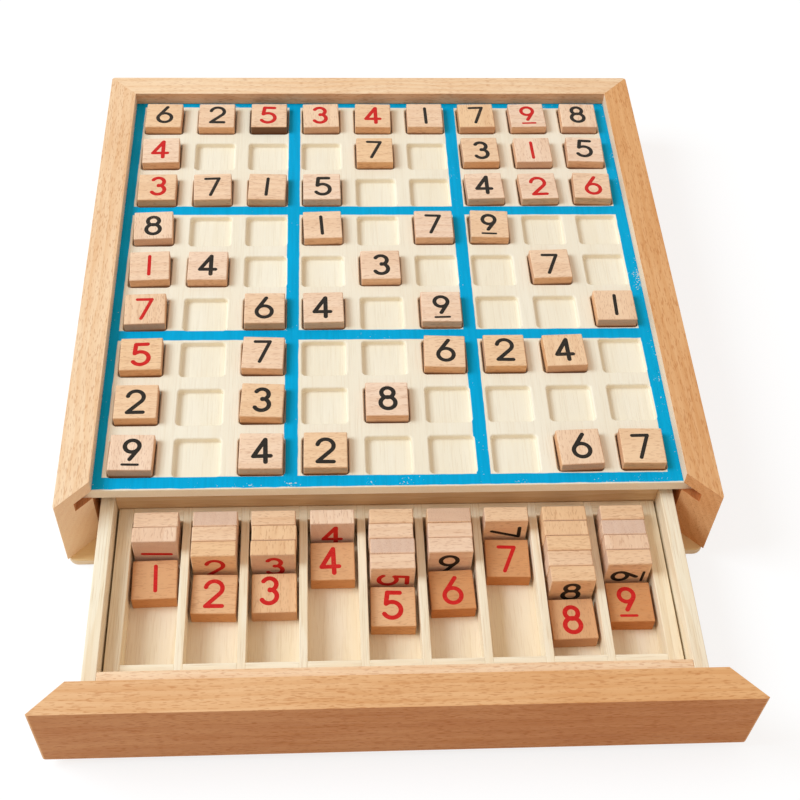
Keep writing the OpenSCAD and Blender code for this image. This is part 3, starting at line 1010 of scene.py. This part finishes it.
def make_tiles(name, node, seed):
    """The tiles of one node: rounded blocks in their places, each with its own grain, tint and sawn sides.

    Most fibres run along X. On the board, pinkish tiles are the most common, and the back row's five is burnt.
    """
    width, thick = tile_size()
    kind, number = node.split("_")
    standing = kind == "stack"
    half = np.array((width, thick, width) if standing else (width, width, thick))
    block, block_quads, block_normals = rounded_block(half, sizes().tile_ease)
    upright = np.clip(1.6 - 1.6 * np.abs(block_normals[:, 1 if standing else 2]), 0, 1)
    tiles = []
    for k, (middle, _, turn) in enumerate(tile_places(node)):
        key = seed + 7 * k
        luck = chance(key, 1)
        if standing:
            along = (0, 2, 1)[int(3 * chance(key, 9)) % 3] if luck > 0.55 else 0
        else:
            along = 1 if luck > 0.8 else 0
        tint = 0.5 * chance(key, 3) ** 1.7 + (0.06 if standing else 0)
        if kind == "loose":
            tint = LOOSE_TINTS[NUMBERS.index(number)]
        sawn = 1.0 if (node, k) == ("board_fives", 0) else 0.35 + 0.2 * chance(key, 4)
        tiles.append({
            "points": block @ spin(turn) + middle,
            "normals": block_normals @ spin(turn),
            "quads": block_quads + k * len(block),
            "grain": grain_of(block, along, key, 1.1 * chance(key, 2)),
            "tint": np.full(len(block), tint),
            "edge": edge_share(block_normals),
            "side": sawn * upright * (0.25 if standing else 1),
            "ends": np.clip(2 * np.abs(block_normals[:, along]) - 1, 0, 1),
            # Lower half of a board tile, for the painted shade at the foot of its sides
            "low": (block[:, 2] < 0) * float(kind == "board"),
        })
    fields = {title: np.concatenate([tile[title] for tile in tiles]) for title in tiles[0]}
    points, normals, quads = (fields.pop(title) for title in ("points", "normals", "quads"))
    return piece(name, points, quads, [tile_material()], node, "tile_beech", normals=normals, fields=fields)


class MakeTiles(bpy.types.Operator):
    """Makes the tiles on the board, the loose tiles and the tiles on edge in the drawer"""

    bl_idname = "sudoku.make_tiles"
    bl_label = "Tiles"

    def execute(self, context):
        for k in range(9):
            make_tiles(f"board_{PLURALS[k]}_tiles", f"board_{PLURALS[k]}", 100 + 101 * k)
            make_tiles(f"loose_{NUMBERS[k]}_tile", f"loose_{NUMBERS[k]}", 2000 + 13 * k)
            make_tiles(f"stack_{PLURALS[k]}_tiles", f"stack_{PLURALS[k]}", 3000 + 103 * k)
        return {"FINISHED"}


def arc(x, y, radius, start, end):
    """Points on a circle from one angle in degrees to another."""
    angle = np.radians(np.linspace(start, end, max(6, int(abs(end - start) / 9))))
    return np.stack((x + radius * np.cos(angle), y + radius * np.sin(angle)), -1)


def ring(x, y, radius):
    """Points on a whole circle, the last one short of the first."""
    return arc(x, y, radius, 0, 350)


def line(*ends):
    """The points of a straight stroke."""
    return np.array(ends, float)


def numeral_strokes():
    """Middle lines of the strokes of each numeral in millimetres: points, closed or open, share of the width."""
    thin, bold = 0.88, 1.05
    return {
        1: [(line((0, 4.7), (0, -4.7)), False, thin)],
        2: [
            (np.concatenate((arc(0, 1.95, 2.75, 170, -43), line((-2.6, -4.7)))), False, 1),
            (line((-2.6, -4.7), (2.8, -4.7)), False, 1),
        ],
        3: [(arc(-0.1, 2.4, 2.3, 150, -85), False, bold), (arc(-0.1, -2.15, 2.6, 85, -150), False, bold)],
        4: [
            (line((1.2, 4.7), (-2.9, -2.2)), False, bold),
            (line((-2.9, -2.2), (2.9, -2.2)), False, bold),
            (line((1.2, 4.7), (1.2, -4.7)), False, bold),
        ],
        5: [
            (line((2.3, 4.7), (-1.8, 4.7)), False, bold),
            (line((-1.8, 4.7), (-2.2, 0.6)), False, bold),
            (arc(-0.2, -1.75, 2.95, 132, -148), False, bold),
        ],
        6: [(line((0.9, 4.8), (-2.4, -0.5)), False, 1), (ring(0, -1.9, 2.8), True, 1)],
        7: [(line((-2.7, 4.7), (2.6, 4.7)), False, thin), (line((2.6, 4.7), (-0.9, -4.7)), False, thin)],
        8: [(ring(0, 2.45, 2.15), True, bold), (ring(0, -2.05, 2.6), True, bold)],
        9: [
            (ring(0, 2.6, 2.45), True, 1),
            (line((2.15, 1.35), (-0.3, -2.9)), False, 1),
            (line((-2.6, -5.1), (2.6, -5.1)), False, 0.64),
        ],
    }


def stroke_body(path, closed, half, sink, top):
    """A low domed section carried along a stroke: points in millimetres and quads.

    Each station spans its half width to either side of the middle line. Past an open end the half
    width follows a quarter circle, so that the stroke ends round.
    """
    tangent = np.roll(path, -1, 0) - np.roll(path, 1, 0) if closed else np.gradient(path, axis=0)
    tangent = tangent / np.linalg.norm(tangent, axis=1, keepdims=True)
    width = np.full(len(path), half)
    if not closed:
        bend = np.radians((8, 28, 50, 72))
        start = path[0] - tangent[0] * (half * np.cos(bend))[:, None]
        finish = path[-1] + tangent[-1] * (half * np.cos(bend[::-1]))[:, None]
        width = np.concatenate((half * np.sin(bend), width, half * np.sin(bend[::-1])))
        more = len(bend)
        tangent = np.concatenate((np.repeat(tangent[:1], more, 0), tangent, np.repeat(tangent[-1:], more, 0)))
        path = np.concatenate((start, path, finish))
    aside = np.stack((-tangent[:, 1], tangent[:, 0]), -1)
    share = np.array((-1, -1, -0.7, 0.7, 1, 1))
    height = np.array((-sink, 0.4 * top, top, top, 0.4 * top, -sink))
    points = np.empty((len(path), len(share), 3))
    points[..., :2] = path[:, None] + aside[:, None] * width[:, None, None] * share[:, None]
    points[..., 2] = height
    index = np.arange(points[..., 0].size).reshape(points.shape[:2])
    if closed:
        index = np.concatenate((index, index[:1]))
    quads = bands(index)
    if not closed:
        cap = np.array(((0, 1, 4, 5), (1, 2, 3, 4)))
        quads = np.concatenate((quads, index[0][cap[:, ::-1]], index[-1][cap]))
    return points.reshape(-1, 3), quads


def numeral(number):
    """All strokes of a numeral on a tile whose middle is the origin, each a little higher than the one before."""
    s = sizes()
    drawn_height, sink, step = 9.4, 0.06, 0.012
    scale, half = s.numeral / MM / drawn_height, s.stroke / MM / 2
    bodies = [stroke_body(path * scale, closed, share * half, sink, s.ink / MM + step * k)
              for k, (path, closed, share) in enumerate(numeral_strokes()[number])]
    starts = np.cumsum([0] + [len(points) for points, _ in bodies])
    quads = np.concatenate([sides + start for (_, sides), start in zip(bodies, starts)])
    return np.concatenate([points for points, _ in bodies]) * MM, quads


def make_numerals(name, node, number, inks, seed, turned=0, shift=(0, 0)):
    """The numerals on the upper faces of tiles that lie flat, or on the front of a stack.

    Each is turned by up to 2.5 degrees and moved by up to half a millimetre, as if stamped by hand.
    """
    _, thick = tile_size()
    shape, sides = numeral(number)
    places = tile_places(node)
    standing = node.startswith("stack")
    if standing:
        places = places[-1:]
    points = []
    for k, (middle, _, turn) in enumerate(places):
        angle = turn + np.radians(turned + 5 * (chance(seed + k, 1) - 0.5))
        aside = (np.array((chance(seed + k, 2), chance(seed + k, 3))) - 0.5 + shift) * MM
        flat = shape @ spin(angle) + (*aside, thick)
        if standing:
            flat = np.stack((flat[:, 0], -flat[:, 2], flat[:, 1]), -1)
        points.append(flat + middle)
    faces = sides + len(shape) * np.arange(len(places))[:, None, None]
    materials = [ink_material("black ink", colours().ink_black), ink_material("red ink", colours().ink_red)]
    only, used = np.unique(inks, return_inverse=True)
    made = piece(name, np.concatenate(points), faces.reshape(-1, 4), [materials[i] for i in only], node,
                 stands_for=False, inks=np.repeat(used, len(sides)))
    made.data.shade_flat()
    return made


class MakeNumerals(bpy.types.Operator):
    """Makes the red and black numerals on the tiles"""

    bl_idname = "sudoku.make_numerals"
    bl_label = "Numerals"

    def execute(self, context):
        pitch = sizes().pitch
        front_row = row_middles(1)[0]
        for k in range(9):
            board, loose, stack = f"board_{PLURALS[k]}", f"loose_{NUMBERS[k]}", f"stack_{PLURALS[k]}"
            inks = []
            for middle, _, _ in tile_places(board):
                row, column = 8 - round((middle[1] - front_row) / pitch), round(middle[0] / pitch) + 4
                inks.append(INKS.index(INK_ROWS[row][column]))
            make_numerals(f"{board}_numerals", board, k + 1, inks, 500 + 10 * k)
            make_numerals(f"{loose}_numeral", loose, k + 1, [INKS.index("r")], 700 + 10 * k,
                          shift=LOOSE_SHIFTS.get(k + 1, (0, 0)))
            make_numerals(f"{stack}_numeral", stack, k + 1, [INKS.index(STACK_INK[k])], 800 + 10 * k,
                          turned=STACK_TURNS[k])
        return {"FINISHED"}


class MakeStage(bpy.types.Operator):
    """Makes the floor, the light and the camera"""

    bl_idname = "sudoku.make_stage"
    bl_label = "Stage"

    def execute(self, context):
        scene = context.scene
        scene.view_settings.view_transform = "Standard"
        self.floor(scene)
        self.sky(scene)
        self.lamp(scene)
        self.camera(scene)
        return {"FINISHED"}

    @staticmethod
    def seen(n):
        """1 for rays that show the background: from the camera, a reflection or a clear body."""
        path = n.add("LightPath")
        return n.calc("MINIMUM", path["Is Camera Ray"] + path["Is Glossy Ray"] + path["Is Transmission Ray"], 1.0)

    def floor(self, scene):
        """A wide floor that shows nearly white and keeps the shadow, and lights the board with its own colour."""
        reach, z = 3.0, -0.05 * MM
        mesh = bpy.data.meshes.new("floor")
        mesh.from_pydata([(-reach, -reach, z), (reach, -reach, z), (reach, reach, z), (-reach, reach, z)], [],
                         [(0, 1, 2, 3)])
        material, n = new_material("floor")
        plain = n.add("BsdfDiffuse", {"Color": colours().floor})
        shade = n.add("BsdfDiffuse", {"Color": (0.26, 0.26, 0.26)})
        both = n.add("AddShader", (shade, n.add("Emission", {"Strength": 0.785})))
        n.end("Material", n.add("MixShader", (self.seen(n), plain, both)))
        mesh.materials.append(material)
        floor = bpy.data.objects.new("floor", mesh)
        scene.collection.objects.link(floor)

    def sky(self, scene):
        """A warm soft light from all round, which shows as white."""
        world = bpy.data.worlds.new("studio")
        n = bare_nodes(world)
        seen = self.seen(n)
        inputs = {
            "Color": n.mix(seen, (1.0, 0.865, 0.755), (1, 1, 1)),
            "Strength": n.between(seen, 0.0, 1.0, 0.62, 1.0),
        }
        n.end("World", n.add("Background", inputs))
        scene.world = world

    @staticmethod
    def lamp(scene):
        """A round soft lamp two metres from the board's middle, on its left: an azimuth from +X and a height."""
        distance, azimuth, height = 2.0, np.radians(178), np.radians(46)
        data = bpy.data.lights.new("key", "AREA")
        data.shape = "DISK"
        data.size = 1.05
        data.energy = 29.5
        data.color = (0.69, 0.845, 0.975)
        out = Vector((np.cos(azimuth) * np.cos(height), np.sin(azimuth) * np.cos(height), np.sin(height)))
        made = bpy.data.objects.new("key", data)
        made.location = distance * out
        made.rotation_euler = out.to_track_quat("Z", "Y").to_euler()
        scene.collection.objects.link(made)

    @staticmethod
    def camera(scene):
        """The camera, where a pinhole fitted to the board's lines and edges stands."""
        data = bpy.data.cameras.new("camera")
        data.sensor_width = 36
        data.sensor_fit = "HORIZONTAL"
        data.lens = 59.981
        data.shift_x = 0.012
        camera = bpy.data.objects.new("camera", data)
        camera.location = Vector((-24.56, -385.57, 431.92)) * MM
        camera.rotation_euler = np.radians((38.476, -1.879, -2.328))
        scene.collection.objects.link(camera)
        scene.camera = camera


OPERATORS = (MakeRails, MakeBase, MakeBoard, MakeDrawer, MakeTray, MakeTiles, MakeNumerals, MakeStage)


class SudokuPanel(bpy.types.Panel):
    """Lists the pieces of the sudoku board, with the sizes and colours of their finish"""

    bl_idname = "VIEW3D_PT_sudoku"
    bl_label = "Wooden sudoku board"
    bl_space_type = "VIEW_3D"
    bl_region_type = "UI"
    bl_category = "Sudoku"

    def draw(self, context):
        for operator in OPERATORS:
            self.layout.operator(operator.bl_idname)
        for group in (context.scene.sudoku_sizes, context.scene.sudoku_colours):
            box = self.layout.box()
            for title in group.__annotations__:
                box.prop(group, title)


CLASSES = (SudokuSizes, SudokuColours, *OPERATORS, SudokuPanel)


def register():
    """Registers the classes and hangs the sizes and colours on the scene."""
    for item in CLASSES:
        bpy.utils.register_class(item)
    bpy.types.Scene.sudoku_sizes = bpy.props.PointerProperty(type=SudokuSizes)
    bpy.types.Scene.sudoku_colours = bpy.props.PointerProperty(type=SudokuColours)


def unregister():
    """Takes back what register did."""
    del bpy.types.Scene.sudoku_colours
    del bpy.types.Scene.sudoku_sizes
    for item in reversed(CLASSES):
        bpy.utils.unregister_class(item)


def main():
    """Makes every piece and the stage."""
    register()
    bpy.ops.sudoku.make_rails()
    bpy.ops.sudoku.make_base()
    bpy.ops.sudoku.make_board()
    bpy.ops.sudoku.make_drawer()
    bpy.ops.sudoku.make_tray()
    bpy.ops.sudoku.make_tiles()
    bpy.ops.sudoku.make_numerals()
    bpy.ops.sudoku.make_stage()


if __name__ == "__main__":
    main()
